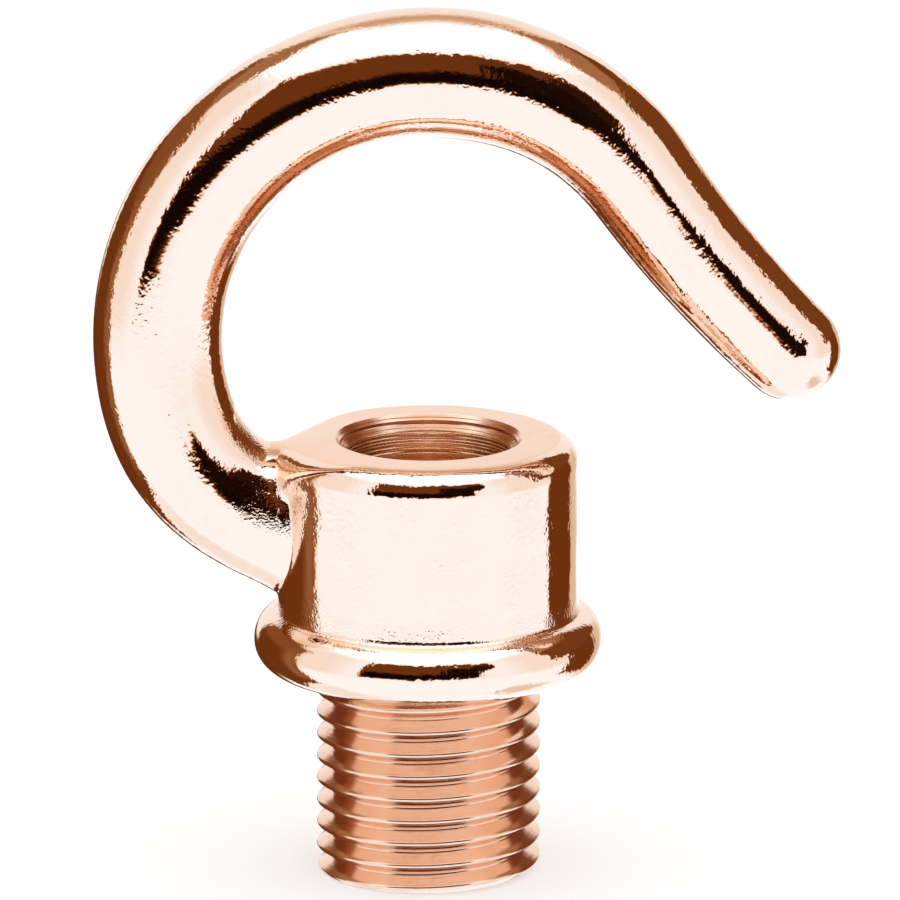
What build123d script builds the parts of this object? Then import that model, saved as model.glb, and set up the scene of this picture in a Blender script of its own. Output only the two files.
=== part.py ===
from build123d import *
import os
from math import acos, cos, degrees, radians, sin, sqrt

# Lamp ceiling hook: a single brass casting, copper plated, with a threaded stub below a
# round collar, a bored hub above it and an open hook that grows out of the hub's side.
# Millimetres, +Z up. The origin is on the thread's axis, on the collar's flat seat.
# The hook lies in the XZ plane and opens towards +X.

# Threaded stub
thread_diameter = 13.7
thread_length = 12.65
thread_end_chamfer = 0.3

# Bores, all on the thread's axis
wire_bore_diameter = 8.0
socket_diameter = 10.2
socket_depth = 11.0
mouth_diameter = 11.4
mouth_chamfer_depth = 0.45

# Collar: a half-round bead, flat below where it seats, run into the hub by a hollow curve
collar_diameter = 21.4
collar_thickness = 3.8
collar_blend_radius = 0.5

# Hub: cast with a rounded top edge, then faced flat
hub_diameter = 18.4
hub_height = 14.5
hub_edge_radius = 1.6
facing_depth = 0.02

# Hook bar's centreline, from the root up round the loop and down to the tip
root_height = 9.75
root_reach = 9.9
root_slope_angle = 20.7
curl_radius = 9.75
curl_angle = 53.6
loop_radius = 16.6
loop_angle = 114.8
shoulder_radius = 15.25
shoulder_angle = 46.1
shank_radius = 72.0
shank_length = 14.1

# Hook bar: even from the root to the crown, then tapering over the shoulder and the shank
bar_diameter = 7.95
shoulder_end_diameter = 7.05
tip_diameter = 6.3

# The bar deepens into the hub, above and below its centreline, from this share of the curl
root_swell_above = 2.2
root_swell_below = 1.1
swell_curl_share = 0.3


def cast_body_profile():
    """Half section of hub and collar, from the seat up to the casting's unmachined top."""
    hub_radius = hub_diameter / 2
    bead_radius = collar_thickness / 2
    bead_centre = collar_diameter / 2 - bead_radius
    blend_centre = hub_radius + collar_blend_radius
    reach = bead_radius + collar_blend_radius
    rise = sqrt(reach**2 - (blend_centre - bead_centre) ** 2)
    lean = degrees(acos((blend_centre - bead_centre) / reach))
    cast_top = hub_height + facing_depth
    edge_centre = (hub_radius - hub_edge_radius, cast_top - hub_edge_radius)

    bead = CenterArc((bead_centre, bead_radius), bead_radius, -90, 90 + lean)
    blend = CenterArc((blend_centre, bead_radius + rise), collar_blend_radius, 180 + lean, -lean)
    edge = CenterArc(edge_centre, hub_edge_radius, 0, 90)
    wall = Line(blend @ 1, edge @ 0)
    top = Line(edge @ 1, (0, cast_top))
    axis = Line(top @ 1, (0, 0))
    seat = Line(axis @ 1, bead @ 0)
    return Plane.XZ * make_face(Curve() + [bead, blend, wall, edge, top, axis, seat])


def cast_body():
    """Hub and collar as one turned form."""
    return revolve(cast_body_profile(), Axis.Z)


def hook_centreline():
    """The bar's centreline: a short run in the hub's wall, then four tangent arcs."""
    slope = radians(root_slope_angle)
    into_hub = Vector(cos(slope), -sin(slope))
    root = Vector(-root_reach, root_height)
    wall_run = (root_reach - socket_diameter / 2) / cos(slope)
    inlet = Line(root + into_hub * wall_run, root)
    curl = JernArc(root, -into_hub, curl_radius, -curl_angle)
    loop = JernArc(curl @ 1, curl % 1, loop_radius, -loop_angle)
    shoulder = JernArc(loop @ 1, loop % 1, shoulder_radius, -shoulder_angle)
    shank = JernArc(shoulder @ 1, shoulder % 1, shank_radius, degrees(shank_length / shank_radius))
    return [Plane.XZ * run for run in (inlet, curl, loop, shoulder, shank)]


def square_to(run, share):
    """The plane square to a run at a share of its length, with its X across the bar's bend."""
    return Plane(origin=run @ share, x_dir=Vector(0, 1, 0).cross(run % share), z_dir=run % share)


def bent_bar(run, share=0):
    """The bar with an even diameter, bent round the run's centre from this share onwards."""
    bend_axis = Axis(run.arc_center, (0, 1, 0))
    bend_angle = degrees((1 - share) * run.length / run.radius)
    return revolve(square_to(run, share) * Circle(bar_diameter / 2), bend_axis, bend_angle)


def tapered_bar(run, start_diameter, end_diameter):
    """A stretch of the bar that tapers along the run."""
    start = square_to(run, 0) * Circle(start_diameter / 2)
    end = square_to(run, 1) * Circle(end_diameter / 2)
    return sweep([start, end], path=run, multisection=True)


def rounded_tip(plane):
    """The half ball that closes the bar."""
    tip_radius = tip_diameter / 2
    edge = CenterArc((0, 0), tip_radius, 0, 90)
    quarter = make_face(Curve() + [edge, Line(edge @ 1, (0, 0)), Line((0, 0), edge @ 0)])
    return plane * revolve(Plane.XZ * quarter, Axis.Z)


def root_section(plane, swell):
    """An egg-shaped section of the bar, with this share of the swell at the hub."""
    above = bar_diameter / 2 + root_swell_above * swell
    below = bar_diameter / 2 + root_swell_below * swell
    return plane * Pos((above - below) / 2, 0) * Ellipse((above + below) / 2, bar_diameter / 2)


def swollen_root(inlet, curl):
    """The bar's first stretch, which swells smoothly from the curl into the hub's wall."""
    curl_length = curl.length * swell_curl_share
    length = inlet.length + curl_length
    stations = {
        0: square_to(inlet, 0),
        inlet.length / 2: square_to(inlet, 0.5),
        inlet.length: square_to(inlet, 1),
        inlet.length + curl_length / 2: square_to(curl, swell_curl_share / 2),
        length: square_to(curl, swell_curl_share),
    }
    return loft([root_section(plane, (1 - run / length) ** 2) for run, plane in stations.items()])


def hook_bar():
    """The whole bar, each stretch joined to the next across a face that they share."""
    inlet, curl, loop, shoulder, shank = hook_centreline()
    bar = bent_bar(curl, swell_curl_share) + bent_bar(loop)
    bar += tapered_bar(shoulder, bar_diameter, shoulder_end_diameter)
    bar += tapered_bar(shank, shoulder_end_diameter, tip_diameter)
    bar += rounded_tip(square_to(shank, 1))
    return bar + swollen_root(inlet, curl)


def stub():
    """The threaded stub's blank, at the thread's full diameter."""
    blank = Cylinder(thread_diameter / 2, thread_length, align=(Align.CENTER, Align.CENTER, Align.MAX))
    end_edge = blank.edges().group_by(Axis.Z)[0]
    return chamfer(end_edge, thread_end_chamfer)


def bores():
    """Everything that is cut on the axis: the wire's way, the socket and its mouth."""
    up = (Align.CENTER, Align.CENTER, Align.MIN)
    down = (Align.CENTER, Align.CENTER, Align.MAX)
    wire_way = Pos(0, 0, -thread_length) * Cylinder(wire_bore_diameter / 2, thread_length + hub_height, align=up)
    socket = Pos(0, 0, hub_height) * Cylinder(socket_diameter / 2, socket_depth, align=down)
    mouth = Pos(0, 0, hub_height - mouth_chamfer_depth) * Cone(
        socket_diameter / 2, mouth_diameter / 2, mouth_chamfer_depth, align=up
    )
    return wire_way + socket + mouth


def facing_cut():
    """What the facing cutter takes off the hub's top."""
    up = (Align.CENTER, Align.CENTER, Align.MIN)
    return Pos(0, 0, hub_height) * Cylinder(hub_diameter / 2, hub_height, align=up)


def hook_body():
    """The whole casting, machined."""
    casting = cast_body() + hook_bar()
    return casting - facing_cut() + stub() - bores()


os.makedirs("parts", exist_ok=True)
body = hook_body()
export_step(body, "parts/hook_body.step")
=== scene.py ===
"""Visual model of a copper-plated cast ceiling hook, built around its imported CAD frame.

The hook is one casting. Its hub and collar are turned, its bar is spun along four arcs,
and both are joined, softened where they meet, then faced, bored and threaded.
"""

import logging
import math
from dataclasses import dataclass, field
from enum import Enum

import bpy
import numpy as np
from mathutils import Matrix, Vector


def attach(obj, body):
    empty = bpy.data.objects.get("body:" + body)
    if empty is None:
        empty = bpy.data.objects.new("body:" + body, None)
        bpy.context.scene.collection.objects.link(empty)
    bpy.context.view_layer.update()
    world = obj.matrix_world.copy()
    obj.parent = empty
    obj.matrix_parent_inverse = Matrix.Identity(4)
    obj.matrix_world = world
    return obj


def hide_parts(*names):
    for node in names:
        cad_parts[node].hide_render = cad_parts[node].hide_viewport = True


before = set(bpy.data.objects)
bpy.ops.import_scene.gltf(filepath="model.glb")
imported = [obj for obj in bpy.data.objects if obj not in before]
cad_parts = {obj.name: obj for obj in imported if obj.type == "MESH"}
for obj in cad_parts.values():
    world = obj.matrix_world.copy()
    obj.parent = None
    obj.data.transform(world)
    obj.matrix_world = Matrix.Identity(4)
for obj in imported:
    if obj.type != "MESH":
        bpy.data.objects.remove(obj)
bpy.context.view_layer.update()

LOG = logging.getLogger("hook")
MM = 0.001
BODY = "root"
NODE = "hook_body"

Piece = bpy.types.Object
Profile = list[tuple[float, float]]


def deselect_all() -> None:
    """Leave object mode with nothing selected."""
    if bpy.context.mode != "OBJECT":
        bpy.ops.object.mode_set(mode="OBJECT")
    bpy.ops.object.select_all(action="DESELECT")


def activate(piece: Piece) -> None:
    """Select one piece alone and make it active.

    Args:
        piece: The piece to select.
    """
    deselect_all()
    piece.select_set(True)
    bpy.context.view_layer.objects.active = piece


def tidy_mesh(piece: Piece, gap: float = 0.001) -> None:
    """Merge doubled points and turn every face outwards.

    Args:
        piece: The piece to clean.
        gap: Largest distance between doubles, in millimetres.
    """
    activate(piece)
    bpy.ops.object.mode_set(mode="EDIT")
    bpy.ops.mesh.select_all(action="SELECT")
    bpy.ops.mesh.remove_doubles(threshold=gap * MM)
    bpy.ops.mesh.normals_make_consistent(inside=False)
    bpy.ops.object.mode_set(mode="OBJECT")


class Cut(Enum):
    """How a second solid changes a piece."""

    ADD = "UNION"
    REMOVE = "DIFFERENCE"
    KEEP = "INTERSECT"


def combine(piece: Piece, tool: Piece, cut: Cut) -> None:
    """Apply a boolean with another solid, delete that solid and close the slivers it leaves.

    Args:
        piece: The piece that is changed.
        tool: The solid that changes it.
        cut: Whether the solid is added, removed or kept.
    """
    activate(piece)
    step = piece.modifiers.new(cut.name.title(), "BOOLEAN")
    step.operation = cut.value
    step.solver = "EXACT"
    step.object = tool
    bpy.ops.object.modifier_apply(modifier=step.name)
    bpy.data.objects.remove(tool)
    tidy_mesh(piece)


def arc_points(
    centre: tuple[float, float], radius: float, start: float, sweep: float, steps: int
) -> Profile:
    """Points along an arc, its start included.

    Args:
        centre: The arc's centre.
        radius: The arc's radius.
        start: Start angle, in degrees.
        sweep: Turn from the start, in degrees.
        steps: Number of equal steps.

    Returns:
        The points, steps + 1 of them.
    """
    turns = [math.radians(start + sweep * i / steps) for i in range(steps + 1)]
    return [(centre[0] + radius * math.cos(t), centre[1] + radius * math.sin(t)) for t in turns]


def straight_points(start: tuple[float, float], end: tuple[float, float], steps: int) -> Profile:
    """Evenly spaced points between two ends, without the ends."""
    shares = [i / steps for i in range(1, steps)]
    return [tuple(a + (b - a) * s for a, b in zip(start, end)) for s in shares]


def turn_on_axis(name: str, profile: Profile, segments: int) -> Piece:
    """Draw a closed round solid out of a circle, ring by ring, along the Z axis.

    Args:
        name: The solid's name.
        profile: Radius and height of each ring, in millimetres, from the bottom upwards.
        segments: Number of points round a ring.

    Returns:
        The solid.
    """
    deselect_all()
    radius, height = profile[0]
    bpy.ops.mesh.primitive_circle_add(
        vertices=segments, radius=radius * MM, fill_type="NGON", location=(0, 0, height * MM)
    )
    piece = bpy.context.object
    piece.name = name
    bpy.ops.object.transform_apply()
    bpy.ops.object.mode_set(mode="EDIT")
    for ring_radius, ring_height in profile[1:]:
        rise = (ring_height - height) * MM
        bpy.ops.mesh.extrude_region_move(TRANSFORM_OT_translate={"value": (0, 0, rise)})
        spread = ring_radius / radius
        bpy.ops.transform.resize(
            value=(spread, spread, 1), center_override=(0, 0, ring_height * MM)
        )
        radius, height = ring_radius, ring_height
    bpy.ops.object.mode_set(mode="OBJECT")
    tidy_mesh(piece)
    return piece


def smooth_step(value: np.ndarray, low: float, high: float) -> np.ndarray:
    """0 below low, 1 above high, and a smooth rise between them."""
    share = np.clip((value - low) / (high - low), 0, 1)
    return share * share * (3 - 2 * share)


def read_rows(
    items: bpy.types.bpy_prop_collection, name: str, width: int, kind: type = np.float32
) -> np.ndarray:
    """One measure of every point, corner or face of a mesh.

    Args:
        items: The mesh's points, corners or faces.
        name: The measure's name.
        width: Numbers in each.
        kind: Their type.

    Returns:
        The numbers, one item a row.
    """
    flat = np.zeros(len(items) * width, kind)
    items.foreach_get(name, flat)
    return flat.reshape(-1, width)


def read_points(piece: Piece) -> np.ndarray:
    """A mesh's points in millimetres, one a row."""
    return read_rows(piece.data.vertices, "co", 3).astype(float) / MM


@dataclass
class HubForm:
    """Sizes of the hub and collar as cast, in millimetres."""

    collar_diameter: float = 21.4
    collar_thickness: float = 3.8
    blend_radius: float = 0.35
    hub_diameter: float = 18.4
    cast_top: float = 14.52
    edge_radius: float = 1.6
    cap_radius: float = 5.0
    seat_rings: tuple[float, ...] = (4.0, 6.0, 8.0)
    bead_steps: int = 28
    blend_steps: int = 10
    wall_steps: int = 20
    edge_steps: int = 16
    top_steps: int = 14
    segments: int = 192

    def __post_init__(self) -> None:
        """Work out the centres of the bead, the hollow blend and the rounded edge."""
        self.wall = self.hub_diameter / 2
        self.bead_radius = self.collar_thickness / 2
        self.bead_centre = (self.collar_diameter / 2 - self.bead_radius, self.bead_radius)
        reach = self.bead_radius + self.blend_radius
        across = self.wall + self.blend_radius - self.bead_centre[0]
        rise = math.sqrt(reach**2 - across**2)
        self.blend_centre = (self.wall + self.blend_radius, self.bead_radius + rise)
        self.lean = math.degrees(math.acos(across / reach))
        self.edge_centre = (self.wall - self.edge_radius, self.cast_top - self.edge_radius)

    def profile(self) -> Profile:
        """Draw the half section.

        Returns:
            Radius and height of each ring, from the seat up to the top.
        """
        lean = self.lean
        bead = arc_points(self.bead_centre, self.bead_radius, -90, 90 + lean, self.bead_steps)
        blend = arc_points(
            self.blend_centre, self.blend_radius, 180 + lean, -lean, self.blend_steps
        )
        edge = arc_points(self.edge_centre, self.edge_radius, 0, 90, self.edge_steps)
        wall = straight_points(blend[-1], edge[0], self.wall_steps)
        seat = [(radius, 0.0) for radius in self.seat_rings]
        cap = (self.cap_radius, self.cast_top)
        top = [*straight_points(edge[-1], cap, self.top_steps), cap]
        return seat + bead + blend[1:] + wall + edge + top

    def build(self) -> Piece:
        """The closed solid of hub and collar."""
        return turn_on_axis("hub", self.profile(), self.segments)

    def distance(self, radius: np.ndarray, height: np.ndarray) -> np.ndarray:
        """Signed distance from the turned surface, negative inside.

        Args:
            radius: Distance of each point from the axis.
            height: Height of each point.

        Returns:
            The distances, in millimetres.
        """
        out = radius - self.edge_centre[0]
        up = height - self.edge_centre[1]
        corner = np.hypot(np.maximum(out, 0), np.maximum(up, 0))
        hub = corner + np.minimum(np.maximum(out, up), 0) - self.edge_radius
        hub = np.maximum(hub, self.bead_centre[1] - height)
        over = np.maximum(radius - self.bead_centre[0], 0)
        bead = np.hypot(over, height - self.bead_centre[1]) - self.bead_radius
        dr, dz = radius - self.blend_centre[0], height - self.blend_centre[1]
        from_blend = np.hypot(dr, dz)
        angle = np.arctan2(dz, dr)
        angle = np.where(angle < 0, angle + 2 * math.pi, angle)
        hollow = (angle >= math.pi) & (angle <= math.pi + math.radians(self.lean))
        hollow &= from_blend < 2 * self.blend_radius
        return np.where(hollow, self.blend_radius - from_blend, np.minimum(hub, bead))


@dataclass
class Bend:
    """One arc of the bar's centreline in the XZ plane, in millimetres and radians."""

    centre: np.ndarray
    radius: float
    start: float
    sweep: float
    run: float

    def length(self) -> float:
        """The arc's length."""
        return abs(self.sweep) * self.radius


@dataclass
class BarForm:
    """The bar's centreline, thickness and swell at the hub, in millimetres."""

    root: tuple[float, float] = (-9.9, 9.75)
    root_slope: float = 20.7
    inlet: float = 5.13
    bends: tuple[tuple[float, float], ...] = ((9.75, 53.6), (16.6, 114.8), (15.25, 46.1))
    shank_radius: float = 72.0
    shank_length: float = 14.1
    radius: float = 3.975
    shoulder_radius: float = 3.525
    tip_radius: float = 3.15
    swell_above: float = 2.2
    swell_below: float = 1.1
    swell_length: float = 7.87
    segments: int = 72
    ring_step: float = 0.55
    root_step: float = 0.3
    tip_rings: int = 14
    reach_inside: float = 12.0
    reach_beside: float = 8.0

    def __post_init__(self) -> None:
        """Chain the arcs head to tail from the root."""
        heading = self.root_heading = math.radians(180 - self.root_slope)
        point = np.array(self.root)
        run = 0.0
        self.chain: list[Bend] = []
        shank_turn = -math.degrees(self.shank_length / self.shank_radius)
        for radius, turn in (*self.bends, (self.shank_radius, shank_turn)):
            side = -1 if turn > 0 else 1
            centre = point + side * radius * np.array([-math.sin(heading), math.cos(heading)])
            sweep = -math.radians(turn)
            start = math.atan2(point[1] - centre[1], point[0] - centre[0])
            bend = Bend(centre, radius, start, sweep, run)
            self.chain.append(bend)
            end = start + sweep
            point = centre + radius * np.array([math.cos(end), math.sin(end)])
            heading += sweep
            run += bend.length()
        self.tip = point
        self.tip_heading = heading
        self.length = run

    def thickness(self, run: np.ndarray) -> np.ndarray:
        """Taper the bar from its shoulder to its tip.

        Args:
            run: Distances along the centreline.

        Returns:
            Half the thickness at each.
        """
        stations = [0.0, self.chain[2].run, self.chain[3].run, self.length]
        halves = [self.radius, self.radius, self.shoulder_radius, self.tip_radius]
        return np.interp(run, stations, halves)

    def nearest(self, x: np.ndarray, z: np.ndarray) -> tuple[np.ndarray, np.ndarray, np.ndarray]:
        """Find where each point lies along and beside the centreline.

        Args:
            x: The points' X.
            z: The points' Z.

        Returns:
            Distance along the bar, distance to the outer side, and distance past the end.
        """
        best = np.full(x.shape, np.inf)
        run, side, past = np.zeros((3, *x.shape))
        for bend in self.chain:
            dx, dz = x - bend.centre[0], z - bend.centre[1]
            turn = np.arctan2(dz, dx) - bend.start
            turn = (turn * np.sign(bend.sweep) + math.pi) % (2 * math.pi) - math.pi
            held = np.clip(turn, 0, abs(bend.sweep))
            angle = bend.start + held * np.sign(bend.sweep)
            px = bend.centre[0] + bend.radius * np.cos(angle)
            pz = bend.centre[1] + bend.radius * np.sin(angle)
            gap = np.hypot(x - px, z - pz)
            outward = np.sign(-bend.sweep)
            closer = gap < best
            best = np.where(closer, gap, best)
            run = np.where(closer, bend.run + held * bend.radius, run)
            beside = ((x - px) * np.cos(angle) + (z - pz) * np.sin(angle)) * outward
            side = np.where(closer, beside, side)
            beyond = np.sqrt(np.maximum(gap * gap - beside * beside, 0))
            past = np.where(closer, beyond, past)
        dx, dz = x - self.root[0], z - self.root[1]
        cosine, sine = math.cos(self.root_heading), math.sin(self.root_heading)
        along = dx * cosine + dz * sine
        across = dx * sine - dz * cosine
        straight = (along < 0) & (along > -self.reach_inside)
        straight &= np.abs(across) < self.reach_beside
        run = np.where(straight, along, run)
        side = np.where(straight, -across, side)
        past = np.where(straight, 0.0, past)
        return run, side, past

    def distance(self, points: np.ndarray) -> np.ndarray:
        """Signed distance from the bar's surface, negative inside.

        Args:
            points: Positions in millimetres, one a row.

        Returns:
            The distances, in millimetres.
        """
        x, y, z = points.T
        run, side, past = self.nearest(x, z)
        half = self.thickness(run)
        swell = np.clip(1 - (run + self.inlet) / self.swell_length, 0, None) ** 2
        above = half + self.swell_above * swell
        below = half + self.swell_below * swell
        tall = (above + below) / 2
        middle = (below - above) / 2
        section = np.sqrt(((side - middle) / tall) ** 2 + (y / half) ** 2 + (past / half) ** 2)
        return (section - 1) * half

    def build(self) -> Piece:
        """Spin a disc along the centreline and round off its tip.

        Returns:
            The closed solid of the bar.
        """
        heading = self.root_heading
        ahead = Vector((math.cos(heading), 0, math.sin(heading)))
        inner_end = Vector((self.root[0], 0, self.root[1])) - ahead * self.inlet
        deselect_all()
        bpy.ops.mesh.primitive_circle_add(
            vertices=self.segments,
            radius=self.radius * MM,
            fill_type="NGON",
            location=inner_end * MM,
            rotation=(0, math.pi / 2 - heading, 0),
        )
        piece = bpy.context.object
        piece.name = "bar"
        bpy.ops.object.transform_apply()
        bpy.ops.object.mode_set(mode="EDIT")
        rings = round(self.inlet / self.root_step)
        for _ in range(rings):
            stride = ahead * self.inlet / rings * MM
            bpy.ops.mesh.extrude_region_move(TRANSFORM_OT_translate={"value": stride})
        for bend in self.chain:
            steps = round(bend.length() / self.ring_step)
            centre = (bend.centre[0] * MM, 0, bend.centre[1] * MM)
            bpy.ops.mesh.spin(steps=steps, angle=bend.sweep, center=centre, axis=(0, 1, 0))
        self.round_tip()
        bpy.ops.object.mode_set(mode="OBJECT")
        tidy_mesh(piece)
        return piece

    def round_tip(self) -> None:
        """Draw the selected end ring out into a half ball, in edit mode."""
        ahead = Vector((math.cos(self.tip_heading), 0, math.sin(self.tip_heading)))
        centre = Vector((self.tip[0], 0, self.tip[1])) * MM
        shrink = self.tip_radius / self.radius
        bpy.ops.transform.resize(value=(shrink,) * 3, center_override=centre)
        for ring in range(1, self.tip_rings):
            before = math.pi / 2 * (ring - 1) / self.tip_rings
            after = math.pi / 2 * ring / self.tip_rings
            stride = ahead * self.tip_radius * (math.sin(after) - math.sin(before)) * MM
            bpy.ops.mesh.extrude_region_move(TRANSFORM_OT_translate={"value": stride})
            centre = centre + stride
            shrink = math.cos(after) / math.cos(before)
            bpy.ops.transform.resize(value=(shrink,) * 3, center_override=centre)
        stride = ahead * self.tip_radius * (1 - math.sin(after)) * MM
        bpy.ops.mesh.extrude_region_move(TRANSFORM_OT_translate={"value": stride})
        bpy.ops.mesh.merge(type="CENTER")


@dataclass
class CastForm:
    """The whole casting: hub and bar, and how softly one runs into the other."""

    hub: HubForm = field(default_factory=HubForm)
    bar: BarForm = field(default_factory=BarForm)
    fillet: float = 0.2
    saddle: float = 3.0
    saddle_low: float = 11.0
    saddle_high: float = 13.0
    ridge_radius: float = 4.0
    ridge_height: float = 14.17
    ridge_outer: float = -9.7
    ridge_rise: float = 0.8
    ridge_power: float = 1.5
    ridge_inner: float = -9.3
    ridge_spread: float = 8.0
    ridge_level: float = -3.5
    ridge_face: float = 14.62
    ridge_edge: float = 0.05
    ridge_soft: float = 0.6
    ridge_top: float = 18.0
    ridge_end: float = -11.8
    plating_gap: float = 0.015
    ripple_height: float = 0.006
    ripple_length: float = 3.2
    ripple_spread: tuple[float, float] = (0.7, 1.6)
    ripple_count: int = 14
    seed: int = 7
    probe: float = 0.002
    least_slope: float = 0.25
    longest_step: float = 1.0
    passes: int = 5

    def __post_init__(self) -> None:
        """Draw the directions and phases of the casting's faint ripples."""
        random = np.random.default_rng(self.seed)
        ways = random.normal(size=(self.ripple_count, 3))
        ways /= np.linalg.norm(ways, axis=1)[:, None]
        lengths = self.ripple_length * random.uniform(*self.ripple_spread, self.ripple_count)
        self.waves = ways * (2 * math.pi / lengths)[:, None]
        self.phases = random.uniform(0, 2 * math.pi, self.ripple_count)

    def distance(self, points: np.ndarray) -> np.ndarray:
        """Signed distance from the casting's skin, negative inside.

        Args:
            points: Positions in millimetres, one a row.

        Returns:
            The distances, in millimetres.
        """
        x, y, z = points.T
        hub = self.hub.distance(np.hypot(x, y), z)
        bar = self.bar.distance(points)
        rise = smooth_step(z, self.saddle_low, self.saddle_high)
        soft = self.fillet + (self.saddle - self.fillet) * rise
        near = np.clip(1 - np.abs(hub - bar) / soft, 0, None)
        skin = np.minimum(hub, bar) - near * near * soft / 4
        skin = self.trim_ridge(skin, points)
        ripples = np.sin(points @ self.waves.T + self.phases).sum(axis=1)
        ripples *= self.ripple_height / math.sqrt(self.ripple_count / 2)
        return skin + self.plating_gap + ripples

    def trim_ridge(self, skin: np.ndarray, points: np.ndarray) -> np.ndarray:
        """Round the ridge that joins the hub's top to the bar's inner side.

        The ridge is a round back that flattens and rises level into the hub's top.

        Args:
            skin: Distances before the ridge is trimmed.
            points: Positions in millimetres, one a row.

        Returns:
            The trimmed distances.
        """
        x, y, z = points.T
        lift = self.ridge_rise * np.maximum(self.ridge_outer - x, 0) ** self.ridge_power
        radius = self.ridge_radius + self.ridge_spread * np.maximum(x - self.ridge_inner, 0) ** 2
        share = smooth_step(x, self.ridge_inner, self.ridge_level)
        lift += (self.ridge_face - self.ridge_height) * share
        middle = self.ridge_height + lift - radius
        over = np.hypot(y, np.maximum(z - middle, 0)) - radius
        soft = self.ridge_soft * (1 - share) + self.ridge_edge
        near = np.clip(1 - np.abs(skin - over) / soft, 0, None)
        trimmed = np.maximum(skin, over) + near * near * soft / 4
        within = (x > self.ridge_end) & (x < self.ridge_level)
        within &= (z > middle) & (z < self.ridge_top)
        return np.where(within, trimmed, skin)

    def slope(self, points: np.ndarray) -> np.ndarray:
        """Outward gradient of the distance, by central differences.

        Args:
            points: Positions in millimetres, one a row.

        Returns:
            The gradients, one a row.
        """
        columns = []
        for axis in range(3):
            shift = np.zeros(3)
            shift[axis] = self.probe
            rise = self.distance(points + shift) - self.distance(points - shift)
            columns.append(rise / (2 * self.probe))
        return np.stack(columns, axis=1)

    def settle(self, piece: Piece) -> None:
        """Move every point of a piece straight onto the casting's skin.

        Args:
            piece: The piece to move.
        """
        points = read_points(piece)
        for _ in range(self.passes):
            slope = self.slope(points)
            steep = np.maximum((slope * slope).sum(axis=1), self.least_slope)
            step = self.distance(points) / steep
            step = np.clip(step, -self.longest_step, self.longest_step)
            points -= slope * step[:, None]
        piece.data.vertices.foreach_set("co", (points * MM).astype(np.float32).ravel())
        piece.data.update()

    def build(self) -> Piece:
        """Join hub and bar and settle the join.

        Returns:
            The casting before it is machined.
        """
        casting = self.hub.build()
        combine(casting, self.bar.build(), Cut.ADD)
        tidy_mesh(casting, gap=0.02)
        self.settle(casting)
        return casting


@dataclass
class MouthForm:
    """The socket's ringed mouth, its scored wall and the wire's way below, in millimetres."""

    face_height: float = 14.5
    rings: tuple[tuple[float, float], ...] = (
        (5.74, 14.5),
        (5.70, 14.47),
        (5.57, 14.34),
        (5.575, 14.31),
        (5.42, 14.17),
        (5.425, 14.12),
        (5.43, 13.98),
        (5.41, 13.93),
        (5.25, 13.77),
        (5.255, 13.74),
        (5.12, 13.61),
    )
    socket_radius: float = 5.1
    socket_floor: float = 3.5
    score_spacing: float = 0.26
    score_depth: float = 0.04
    score_widths: tuple[float, float] = (0.3, 0.7)
    score_depths: tuple[float, float] = (0.2, 1.0)
    score_land: float = 0.6
    score_ridge: float = 0.5
    wall_start: float = 0.05
    seed: int = 3
    way_radius: float = 4.0
    low_end: float = -12.65
    low_flare: float = 0.3
    overrun: float = 0.8
    segments: int = 160

    def scored_wall(self) -> Profile:
        """Draw the socket's wall with its scored lines.

        Returns:
            Radius and height of each ring, from the mouth down to the floor.
        """
        random = np.random.default_rng(self.seed)
        height = self.rings[-1][1] - self.wall_start
        wall = [(self.socket_radius, height)]
        while height > self.socket_floor + 2 * self.score_spacing:
            land, ridge = self.score_spacing * random.uniform(*self.score_widths, 2)
            inner = self.socket_radius - self.score_depth * random.uniform(*self.score_depths)
            wall.append((self.socket_radius, height - land * self.score_land))
            wall.append((inner, height - land))
            wall.append((inner, height - land - ridge * self.score_ridge))
            height -= land + ridge
            wall.append((self.socket_radius, height))
        wall.append((self.socket_radius, self.socket_floor))
        return wall

    def build(self) -> Piece:
        """Make the solid that boring takes away.

        Returns:
            The closed solid.
        """
        above = (self.rings[0][0] + self.overrun, self.face_height + self.overrun)
        below = self.low_flare + self.overrun
        way = [
            (self.way_radius, self.socket_floor),
            (self.way_radius, self.low_end + self.low_flare),
            (self.way_radius + below, self.low_end + self.low_flare - below),
        ]
        profile = [above, *self.rings, *self.scored_wall(), *way]
        return turn_on_axis("boring", profile[::-1], self.segments)


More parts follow.
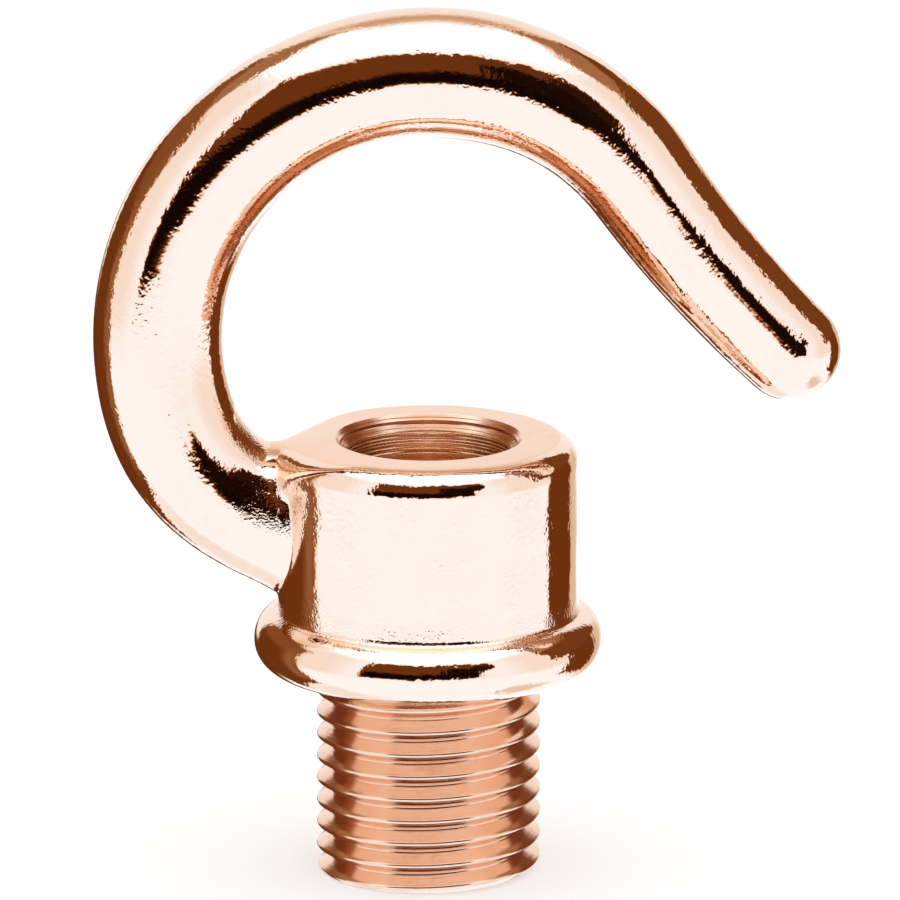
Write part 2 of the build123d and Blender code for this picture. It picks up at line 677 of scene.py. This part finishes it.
@dataclass
class ThreadForm:
    """The stub's right-hand thread, in millimetres.

    The last five sizes are shares of ease, which rounds the crests and the roots.
    """

    radius: float = 6.85
    pitch: float = 1.4
    crest: float = 0.105
    root: float = 0.08
    flank_slope: float = math.sqrt(3)
    crest_height: float = -2.74
    length: float = 12.65
    overlap: float = 1.0
    end_chamfer: float = 0.3
    blank_spare: float = 0.4
    extra_turns: int = 3
    steps: int = 128
    ease: float = 0.05
    crest_hold: float = 1.6
    bend_in: float = 0.5
    bend_along: float = 0.3
    flank_hold: float = 1.2
    root_hold: float = 1.4

    def profile(self) -> Profile:
        """Draw the thread's section.

        Returns:
            Radius and height through one pitch, from crest to crest.
        """
        half = self.pitch / 2
        depth = (half - self.crest - self.root) * self.flank_slope
        bottom = self.radius - depth
        foot = half - self.root
        inwards = self.ease * self.bend_in
        along = self.ease * self.bend_along
        hold = self.ease * self.flank_hold
        side = [
            (self.radius, 0.0),
            (self.radius, self.crest - self.ease * self.crest_hold),
            (self.radius - inwards, self.crest - along),
            (self.radius - hold * self.flank_slope, self.crest + hold),
            (bottom + hold * self.flank_slope, foot - hold),
            (bottom + inwards, foot + along),
            (bottom, foot + self.ease * self.root_hold),
        ]
        other = [(radius, self.pitch - height) for radius, height in reversed(side)]
        return side + other

    def build(self) -> Piece:
        """Wind the profile up the stub and trim it to a chamfered end.

        Returns:
            The closed solid of the threaded stub.
        """
        profile = self.profile()
        turns = math.ceil((self.length + self.overlap) / self.pitch) + self.extra_turns
        low = self.crest_height
        while low > -self.length - 2 * self.pitch:
            low -= self.pitch
        deselect_all()
        bpy.ops.mesh.primitive_plane_add(size=MM, location=(-profile[0][0] * MM, 0, low * MM))
        piece = bpy.context.object
        piece.name = "threaded_stub"
        bpy.ops.object.transform_apply()
        bpy.ops.object.mode_set(mode="EDIT")
        bpy.ops.mesh.merge(type="CENTER")
        for (radius, height), (next_radius, next_height) in zip(profile, profile[1:]):
            stride = ((radius - next_radius) * MM, 0, (next_height - height) * MM)
            bpy.ops.mesh.extrude_vertices_move(TRANSFORM_OT_translate={"value": stride})
        bpy.ops.object.mode_set(mode="OBJECT")
        winding = piece.modifiers.new("Winding", "SCREW")
        winding.axis = "Z"
        winding.angle = 2 * math.pi
        winding.screw_offset = self.pitch * MM
        winding.iterations = turns
        winding.steps = winding.render_steps = self.steps
        bpy.ops.object.modifier_apply(modifier=winding.name)
        tidy_mesh(piece)
        self.trim(piece, self.overlap, keep_below=True)
        self.trim(piece, -self.length - self.overlap / 2, keep_below=False)
        tidy_mesh(piece)
        combine(piece, self.blank(), Cut.KEEP)
        return piece

    def trim(self, piece: Piece, height: float, keep_below: bool) -> None:
        """Slice a piece level, close the slice and drop one side.

        Args:
            piece: The piece to slice.
            height: Height of the slice, in millimetres.
            keep_below: Whether the part below the slice stays.
        """
        activate(piece)
        bpy.ops.object.mode_set(mode="EDIT")
        bpy.ops.mesh.select_all(action="SELECT")
        bpy.ops.mesh.bisect(
            plane_co=(0, 0, height * MM),
            plane_no=(0, 0, 1),
            use_fill=True,
            clear_outer=keep_below,
            clear_inner=not keep_below,
            threshold=MM * MM,
        )
        bpy.ops.object.mode_set(mode="OBJECT")

    def blank(self) -> Piece:
        """Turn the blank, which is wider than the thread but for its chamfered end.

        Returns:
            The closed solid.
        """
        wide = self.radius + self.blank_spare
        profile = [
            (self.radius - self.end_chamfer, -self.length),
            (wide, -self.length + self.end_chamfer + self.blank_spare),
            (wide, self.overlap / 2),
        ]
        return turn_on_axis("blank", profile, self.steps)


@dataclass
class FinishedHook:
    """The casting once it is faced, bored and threaded."""

    casting: CastForm = field(default_factory=CastForm)
    mouth: MouthForm = field(default_factory=MouthForm)
    thread: ThreadForm = field(default_factory=ThreadForm)
    facing_depth: float = 2.0
    skin_gap: float = 0.004
    agreement: float = 0.85
    crease_angle: float = 14.0
    rim_width: float = 0.01
    face_above: float = 0.04
    level_slope: float = 0.96
    saddle_drop: float = 0.3
    saddle_reach: float = 0.4
    spare: float = 1.1

    def build(self) -> Piece:
        """Machine the casting.

        Returns:
            The finished hook, with its normals set.
        """
        piece = self.casting.build()
        piece.name = "copper_hook"
        face = self.mouth.face_height
        hub = self.casting.hub
        sweep = [(hub.wall, face), (hub.wall, face + self.facing_depth)]
        combine(piece, turn_on_axis("facing", sweep, hub.segments), Cut.REMOVE)
        combine(piece, self.thread.build(), Cut.ADD)
        combine(piece, self.mouth.build(), Cut.REMOVE)
        activate(piece)
        bpy.ops.object.shade_smooth_by_angle(angle=math.radians(self.crease_angle))
        self.set_normals(piece)
        return piece

    def set_normals(self, piece: Piece) -> None:
        """Give the cast skin the exact normals of its form, and keep the machined ones.

        Args:
            piece: The finished hook.
        """
        mesh = piece.data
        owner = read_rows(mesh.loops, "vertex_index", 1, np.int32)[:, 0]
        normals = read_rows(mesh.corner_normals, "vector", 3)
        sizes = read_rows(mesh.polygons, "loop_total", 1, np.int32)[:, 0]
        flats = np.repeat(read_rows(mesh.polygons, "normal", 3), sizes, axis=0)
        points = read_points(piece)
        on_skin = np.abs(self.casting.distance(points)) < self.skin_gap
        slope = self.casting.slope(points)
        slope /= np.linalg.norm(slope, axis=1)[:, None]
        exact = slope[owner]
        agrees = (exact * flats).sum(axis=1) > self.agreement
        cast = on_skin[owner] & agrees
        normals[cast] = exact[cast]
        mesh.normals_split_custom_set(normals.tolist())
        LOG.info("%d of %d corners take the casting's normals", int(cast.sum()), len(cast))

    def dress(self, piece: Piece) -> None:
        """Give the hook its finishes: turned on the face, threaded below, bored inside.

        Args:
            piece: The finished hook.
        """
        finishes = (CAST_FINISH, TURNED_FINISH, THREAD_FINISH, BORE_FINISH)
        cast, turned, threaded, bored = range(len(finishes))
        piece.data.materials.clear()
        for finish in finishes:
            piece.data.materials.append(finish.build())
        rim = self.mouth.rings[0][0] + self.rim_width
        socket, socket_top = self.mouth.rings[-1]
        top = self.mouth.face_height + self.face_above
        saddle = self.casting.ridge_height - self.saddle_drop
        saddle_end = self.casting.ridge_inner - self.saddle_reach
        for polygon in piece.data.polygons:
            x, y, z = polygon.center / MM
            across = math.hypot(x, y)
            level = polygon.normal.z > self.level_slope and saddle < z < top
            level = level and saddle_end < x and across < self.casting.hub.wall * self.spare
            if z < 0 and across > self.mouth.way_radius * self.spare:
                polygon.material_index = threaded
            elif across < socket and z < socket_top:
                polygon.material_index = bored
            elif (across < rim and z < top) or level:
                polygon.material_index = turned
            else:
                polygon.material_index = cast


Socket = bpy.types.NodeSocket
Value = float | Socket
MIX_NUMBER_A, MIX_NUMBER_B = 2, 3
MIX_COLOUR_A, MIX_COLOUR_B, MIX_COLOUR_RESULT = 6, 7, 2


class Bench:
    """Adds and links the nodes of one material or world."""

    def __init__(self, tree: bpy.types.NodeTree) -> None:
        """Empty the tree to start from nothing."""
        self.tree = tree
        tree.nodes.clear()

    def add(
        self, kind: str, inputs: dict[int | str, object] | None = None, **settings: object
    ) -> bpy.types.Node:
        """Add a node.

        Args:
            kind: The node's type, without its prefix.
            inputs: Another socket or a constant for each input, by its place or name.
            settings: The node's plain properties.

        Returns:
            The node.
        """
        node = self.tree.nodes.new(f"ShaderNode{kind}")
        for name, value in settings.items():
            setattr(node, name, value)
        for key, value in (inputs or {}).items():
            if isinstance(value, Socket):
                self.tree.links.new(value, node.inputs[key])
            else:
                node.inputs[key].default_value = value
        return node

    def math(self, operation: str, *values: Value) -> Socket:
        """The result of a Math node."""
        return self.add("Math", dict(enumerate(values)), operation=operation).outputs[0]

    def ramp(self, value: Value, low: float, high: float, start: float, end: float) -> Socket:
        """A smooth step of a value from one range to another.

        Args:
            value: What is mapped.
            low: Value where the step starts.
            high: Value where the step ends.
            start: Result at and before the start.
            end: Result at and past the end.

        Returns:
            The result's socket.
        """
        fed = dict(enumerate((value, low, high, start, end)))
        return self.add("MapRange", fed, interpolation_type="SMOOTHSTEP").outputs["Result"]

    def blend(self, share: Value, first: object, second: object) -> Socket:
        """Two colours mixed by a share."""
        fed = {0: share, MIX_COLOUR_A: first, MIX_COLOUR_B: second}
        return self.add("Mix", fed, data_type="RGBA").outputs[MIX_COLOUR_RESULT]

    def between(self, share: Value, first: Value, second: Value) -> Socket:
        """Two numbers mixed by a share."""
        fed = {0: share, MIX_NUMBER_A: first, MIX_NUMBER_B: second}
        return self.add("Mix", fed, data_type="FLOAT").outputs[0]

    def grain(self, place: Socket, scale: float, detail: float = 1.0) -> Socket:
        """A noise of that many features a unit, about 0.5 on average."""
        fed = {"Vector": place, "Scale": scale, "Detail": detail}
        return self.add("TexNoise", fed).outputs["Fac"]

    def line_grain(self, place: Value, scale: float, detail: float) -> Socket:
        """A noise that varies along one measure only, for turned lines."""
        fed = {"W": place, "Scale": scale, "Detail": detail}
        return self.add("TexNoise", fed, noise_dimensions="1D").outputs["Fac"]


Colour = tuple[float, float, float, float]


@dataclass(frozen=True)
class RoughCorner:
    """A corner that no buffing wheel reaches. Its grain fades from near to far, in millimetres."""

    place: tuple[float, float, float]
    near: float
    far: float


ROUGH_CORNERS = (
    RoughCorner((-9.6, 3.6, 10.5), 1.0, 3.4),
    RoughCorner((-11.3, 1.2, 14.9), 0.8, 2.8),
)
COLLAR_LINE = 4.1
COLLAR_NEAR = 0.2
COLLAR_FAR = 1.1
COLLAR_SHARE = 0.6


class Surface(Enum):
    """The ways in which the hook's copper is finished."""

    CAST = "polished_cast_copper"
    TURNED = "turned_copper"
    THREADED = "threaded_copper"
    BORED = "bored_copper"


@dataclass(frozen=True)
class CopperFinish:
    """One finish of the copper plate, in millimetres and in features a millimetre."""

    surface: Surface
    colour: Colour = (0.95, 0.70, 0.55, 1.0)
    stain: Colour = (0.94, 0.68, 0.525, 1.0)
    stain_density: float = 0.35
    stain_detail: float = 4.0
    speck_density: float = 2.2
    speck_detail: float = 3.0
    stain_from: float = 0.24
    stain_full: float = 0.42
    roughness: float = 0.03
    roughness_spread: float = 0.04
    peel_size: float = 0.32
    peel_height: float = 0.02
    peel_quiet: float = 0.25
    buff_density: float = 0.32
    buff_from: float = 0.40
    buff_full: float = 0.60
    corner_peel: float = 0.0
    corner_size: float = 0.16
    dimple_size: float = 1.1
    dimple_height: float = 0.002
    line_density: float = 0.0
    line_height: float = 0.0
    line_detail: float = 3.0
    line_lean: float = 0.83
    pit_spacing: float = 2.6
    pit_radius: float = 0.09
    pit_floor: float = 0.3
    pit_depth: float = 0.0

    def build(self) -> bpy.types.Material:
        """Make the finish's material.

        Returns:
            The material, whose patterns follow the object's own millimetres.
        """
        material = bpy.data.materials.new(self.surface.value)
        material.use_nodes = True
        bench = Bench(material.node_tree)
        place = {0: bench.add("TexCoord").outputs["Object"], "Scale": 1 / MM}
        where = bench.add("VectorMath", place, operation="SCALE").outputs[0]
        worn = bench.grain(where, self.stain_density, self.stain_detail)
        fine = bench.grain(where, self.speck_density, self.speck_detail)
        both = bench.math("MULTIPLY", worn, fine)
        patchy = bench.ramp(both, self.stain_from, self.stain_full, 0.0, 1.0)
        looks = {
            "Metallic": 1.0,
            "Base Color": bench.blend(patchy, self.colour, self.stain),
            "Roughness": bench.math("MULTIPLY_ADD", patchy, self.roughness_spread, self.roughness),
            "Normal": self.relief(bench, where),
        }
        bench.add("OutputMaterial", {"Surface": bench.add("BsdfPrincipled", looks).outputs[0]})
        return material

    def corners(self, bench: Bench, where: Socket) -> Socket:
        """How near a point is to the rough corners and to the collar's line.

        Args:
            bench: Where the nodes go.
            where: Place in millimetres.

        Returns:
            1 in the corners, falling to 0 outside them.
        """
        x, y, z = bench.add("SeparateXYZ", {0: where}).outputs
        folded = bench.add("CombineXYZ", {0: x, 1: bench.math("ABSOLUTE", y), 2: z}).outputs[0]
        off = bench.math("ABSOLUTE", bench.math("SUBTRACT", z, COLLAR_LINE))
        worst = bench.ramp(off, COLLAR_NEAR, COLLAR_FAR, COLLAR_SHARE, 0.0)
        for corner in ROUGH_CORNERS:
            ends = {0: folded, 1: corner.place}
            reach = bench.add("VectorMath", ends, operation="DISTANCE")
            rough = bench.ramp(reach.outputs["Value"], corner.near, corner.far, 1.0, 0.0)
            worst = bench.math("MAXIMUM", worst, rough)
        return worst

    def relief(self, bench: Bench, where: Socket) -> Socket:
        """Bump of the finish: orange peel, dimples, pits and tool lines.

        Args:
            bench: Where the nodes go.
            where: Place in millimetres.

        Returns:
            The bumped normal.
        """
        worn = bench.grain(where, self.buff_density)
        buffing = bench.ramp(worn, self.buff_from, self.buff_full, self.peel_quiet, 1.0)
        strength = bench.math("MULTIPLY", buffing, self.peel_height)
        peel = bench.math("MULTIPLY", bench.grain(where, 1 / self.peel_size), strength)
        if self.corner_peel:
            rough = bench.math("MULTIPLY", self.corners(bench, where), self.corner_peel)
            specks = bench.grain(where, 1 / self.corner_size)
            peel = bench.math("MULTIPLY_ADD", specks, rough, peel)
        dimples = bench.grain(where, 1 / self.dimple_size)
        height = bench.math("MULTIPLY_ADD", dimples, self.dimple_height, peel)
        if self.line_density:
            x, y, z = bench.add("SeparateXYZ", {0: where}).outputs
            squares = [bench.math("POWER", side, 2.0) for side in (x, y)]
            across = bench.math("SQRT", bench.math("ADD", *squares))
            both = bench.math("ADD", across, bench.math("MULTIPLY", z, self.line_lean))
            lines = bench.line_grain(both, self.line_density, self.line_detail)
            height = bench.math("MULTIPLY_ADD", lines, self.line_height, height)
        if self.pit_depth:
            cells = bench.add("TexVoronoi", {"Vector": where, "Scale": 1 / self.pit_spacing})
            edge = self.pit_radius / self.pit_spacing
            pit = bench.ramp(cells.outputs["Distance"], self.pit_floor * edge, edge, 1.0, 0.0)
            height = bench.math("MULTIPLY_ADD", pit, -self.pit_depth, height)
        return bench.add("Bump", {"Height": height, "Distance": MM}).outputs[0]


CAST_FINISH = CopperFinish(Surface.CAST, corner_peel=0.03, dimple_height=0.006, pit_depth=0.02)
TURNED_FINISH = CopperFinish(
    Surface.TURNED,
    colour=(0.945, 0.606, 0.422, 1.0),
    stain=(0.935, 0.588, 0.405, 1.0),
    roughness=0.2,
    roughness_spread=0.06,
    peel_height=0.0006,
    line_density=7.0,
    line_height=0.008,
)
THREAD_FINISH = CopperFinish(
    Surface.THREADED,
    colour=(0.92, 0.60, 0.43, 1.0),
    stain=(0.91, 0.57, 0.395, 1.0),
    roughness=0.16,
    roughness_spread=0.08,
    peel_height=0.0012,
    line_density=9.0,
    line_height=0.006,
)
BORE_FINISH = CopperFinish(
    Surface.BORED,
    colour=(0.95, 0.60, 0.37, 1.0),
    stain=(0.92, 0.55, 0.32, 1.0),
    roughness=0.22,
    roughness_spread=0.1,
    peel_height=0.002,
    line_density=11.0,
    line_height=0.012,
)


@dataclass(frozen=True)
class Card:
    """A soft-edged patch of the studio, in degrees from the camera's side and the horizon.

    Its low edge may rise beyond a bearing, and its level is a place on STUDIO_TONES.
    """

    bearing: float
    half_width: float
    low: float
    high: float
    level: float
    softness: float = 2.0
    share: float = 1.0
    cut_from: float = 180.0
    cut_rise: float = 0.0


STUDIO_TONES = (
    (0.00, (0.007, 0.002, 0.001)),
    (0.12, (0.047, 0.014, 0.0044)),
    (0.25, (0.16, 0.045, 0.009)),
    (0.35, (0.26, 0.10, 0.034)),
    (0.50, (0.53, 0.31, 0.173)),
    (0.62, (0.817, 0.677, 0.545)),
    (0.75, (0.988, 0.99, 0.98)),
    (0.90, (1.045, 1.26, 1.50)),
    (1.00, (1.50, 1.70, 1.95)),
)
STUDIO_CARDS = (
    Card(162, 17, -21, -9, 0.90, softness=4),
    Card(180, 30, 42, 66, 0.46, softness=9, share=0.8),
    Card(-130, 19, 31, 57, 0.42, softness=4),
    Card(122, 28, 35, 57, 0.42, softness=4),
    Card(97, 26, -64, -46, 0.66, softness=5),
    Card(-130, 42, -72, -48, 0.78, softness=8),
    Card(140, 18, -34, 8, 0.60, softness=5),
    Card(121, 30, 8, 38, 0.27, softness=1.5),
    Card(122.5, 17.5, -32, 10, 0.25),
    Card(-124, 27, -46, 33, 0.25),
    Card(-160, 18, -33, -9, 0.22, softness=4),
    Card(-104, 7, -40, 33, 0.38, softness=6),
    Card(-124, 26, 12, 33, 0.35, softness=4, share=0.8),
    Card(-15, 31, -6, 47, 0.24),
    Card(22, 12.5, -2, 45, 0.22),
    Card(40, 8, 13, 45, 0.20, cut_from=34, cut_rise=1.1),
    Card(-14, 30, -5, 14, 0.0, softness=4),
    Card(23, 11.5, -2, 33, 0.0, softness=3, share=0.95),
    Card(40, 7, 13, 38, 0.04, softness=3, share=0.9, cut_from=34, cut_rise=0.9),
)


@dataclass
class Studio:
    """The camera, the pale floor and the light round the hook.

    Lengths are in millimetres, and the light's bearings and heights in degrees.
    """

    aim: tuple[float, float, float] = (1.31, 0.0, 13.68)
    elevation: float = 14.6
    distance: float = 915.0
    lens: float = 600.0
    sensor: float = 36.0
    floor_size: float = 3000.0
    floor_height: float = -12.65
    floor_colour: Colour = (0.8, 0.8, 0.8, 1.0)
    floor_lift: float = 0.3
    strength: float = 2.0
    far_clip: float = 10000.0
    near_level: float = 0.87
    rear_level: float = 0.765
    near_bearing: float = 50.0
    rear_bearing: float = 74.0
    ground_level: float = 0.91
    ground_height: float = -17.0
    wall_height: float = -4.0
    sky_level: float = 1.0
    wall_top: float = 44.0
    sky_height: float = 58.0

    def build(self) -> None:
        """Set up camera, floor and world."""
        bpy.context.scene.view_settings.view_transform = "Standard"
        self.add_camera()
        self.add_floor()
        self.light_world()

    def add_camera(self) -> None:
        """Place the camera at the photograph's angle."""
        lean = math.radians(self.elevation)
        away = Vector((0, -math.cos(lean), math.sin(lean))) * self.distance
        lens = bpy.data.cameras.new("view")
        lens.lens = self.lens
        lens.sensor_width = self.sensor
        lens.clip_end = self.far_clip * MM
        camera = bpy.data.objects.new("view", lens)
        bpy.context.scene.collection.objects.link(camera)
        camera.location = (Vector(self.aim) + away) * MM
        camera.rotation_euler = (math.pi / 2 - lean, 0, 0)
        bpy.context.scene.camera = camera

    def add_floor(self) -> None:
        """Lay the pale floor under the stub."""
        deselect_all()
        bpy.ops.mesh.primitive_plane_add(
            size=self.floor_size * MM, location=(0, 0, self.floor_height * MM)
        )
        floor = bpy.context.object
        floor.name = "floor"
        material = bpy.data.materials.new("floor")
        material.use_nodes = True
        bench = Bench(material.node_tree)
        matt = bench.add("BsdfDiffuse", {"Color": self.floor_colour}).outputs[0]
        seen = bench.add("LightPath").outputs["Is Camera Ray"]
        lift = {"Strength": bench.math("MULTIPLY", seen, self.floor_lift)}
        both = bench.add("AddShader", {0: matt, 1: bench.add("Emission", lift).outputs[0]})
        bench.add("OutputMaterial", {"Surface": both.outputs[0]})
        floor.data.materials.append(material)
        floor.visible_glossy = False

    def light_world(self) -> None:
        """Surround the hook with a white room and its darker cards, which only gloss shows."""
        world = bpy.data.worlds.new("studio")
        bpy.context.scene.world = world
        world.use_nodes = True
        bench = Bench(world.node_tree)
        way = bench.add("TexCoord").outputs["Generated"]
        x, y, z = bench.add("SeparateXYZ", {0: way}).outputs
        degree = 180 / math.pi
        turn = bench.math("ARCTAN2", x, bench.math("MULTIPLY", y, -1.0))
        bearing = bench.math("MULTIPLY", turn, degree)
        height = bench.math("MULTIPLY", bench.math("ARCSINE", z), degree)
        aside = bench.math("ABSOLUTE", bearing)
        sides = bench.ramp(
            aside, self.near_bearing, self.rear_bearing, self.near_level, self.rear_level
        )
        above = bench.ramp(height, self.ground_height, self.wall_height, 0, 1)
        room = bench.between(above, self.ground_level, sides)
        above = bench.ramp(height, self.wall_top, self.sky_height, 0, 1)
        room = bench.between(above, room, self.sky_level)
        for card in STUDIO_CARDS:
            room = bench.between(self.card_mask(bench, card, bearing, height), room, card.level)
        glossy = bench.add("LightPath").outputs["Is Glossy Ray"]
        plain = (1 / self.strength,) * 3 + (1.0,)
        colour = bench.blend(glossy, plain, self.tone(bench, room))
        light = bench.add("Background", {"Color": colour, "Strength": self.strength})
        bench.add("OutputWorld", {"Surface": light.outputs[0]})

    def tone(self, bench: Bench, level: Socket) -> Socket:
        """The studio's light at a level, from black over brown and peach to white.

        Args:
            bench: Where the nodes go.
            level: The level, from 0 to 1.

        Returns:
            The light's colour.
        """
        scale = bench.add("ValToRGB", {0: level})
        stops = scale.color_ramp.elements
        while len(stops) < len(STUDIO_TONES):
            stops.new(1.0)
        for stop, (position, light) in zip(stops, STUDIO_TONES):
            stop.position = position
            stop.color = (*[part / self.strength for part in light], 1.0)
        return scale.outputs["Color"]

    def card_mask(self, bench: Bench, card: Card, bearing: Socket, height: Socket) -> Socket:
        """How much of a card shows in each direction.

        Args:
            bench: Where the nodes go.
            card: The card.
            bearing: Compass bearing of the direction, in degrees.
            height: Its elevation, in degrees.

        Returns:
            The card's share.
        """
        soft = card.softness
        off = bench.math("SUBTRACT", bearing, card.bearing)
        aside = bench.math("ABSOLUTE", bench.math("WRAP", off, 180.0, -180.0))
        beside = bench.ramp(aside, card.half_width - soft, card.half_width + soft, card.share, 0)
        lifted = height
        if card.cut_rise:
            past = bench.math("MAXIMUM", bench.math("SUBTRACT", bearing, card.cut_from), 0.0)
            lifted = bench.math("MULTIPLY_ADD", past, -card.cut_rise, height)
        above = bench.ramp(lifted, card.low - soft, card.low + soft, 0, 1)
        below = bench.ramp(height, card.high - soft, card.high + soft, 1, 0)
        return bench.math("MULTIPLY", bench.math("MULTIPLY", beside, above), below)


def main() -> None:
    """Build every part of the scene."""
    logging.basicConfig(level=logging.INFO, format="%(message)s")
    finished = FinishedHook()
    hook = finished.build()
    LOG.info("hook: %d faces", len(hook.data.polygons))
    finished.dress(hook)
    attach(hook, BODY)
    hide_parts(NODE)
    Studio().build()


if __name__ == "__main__":
    main()
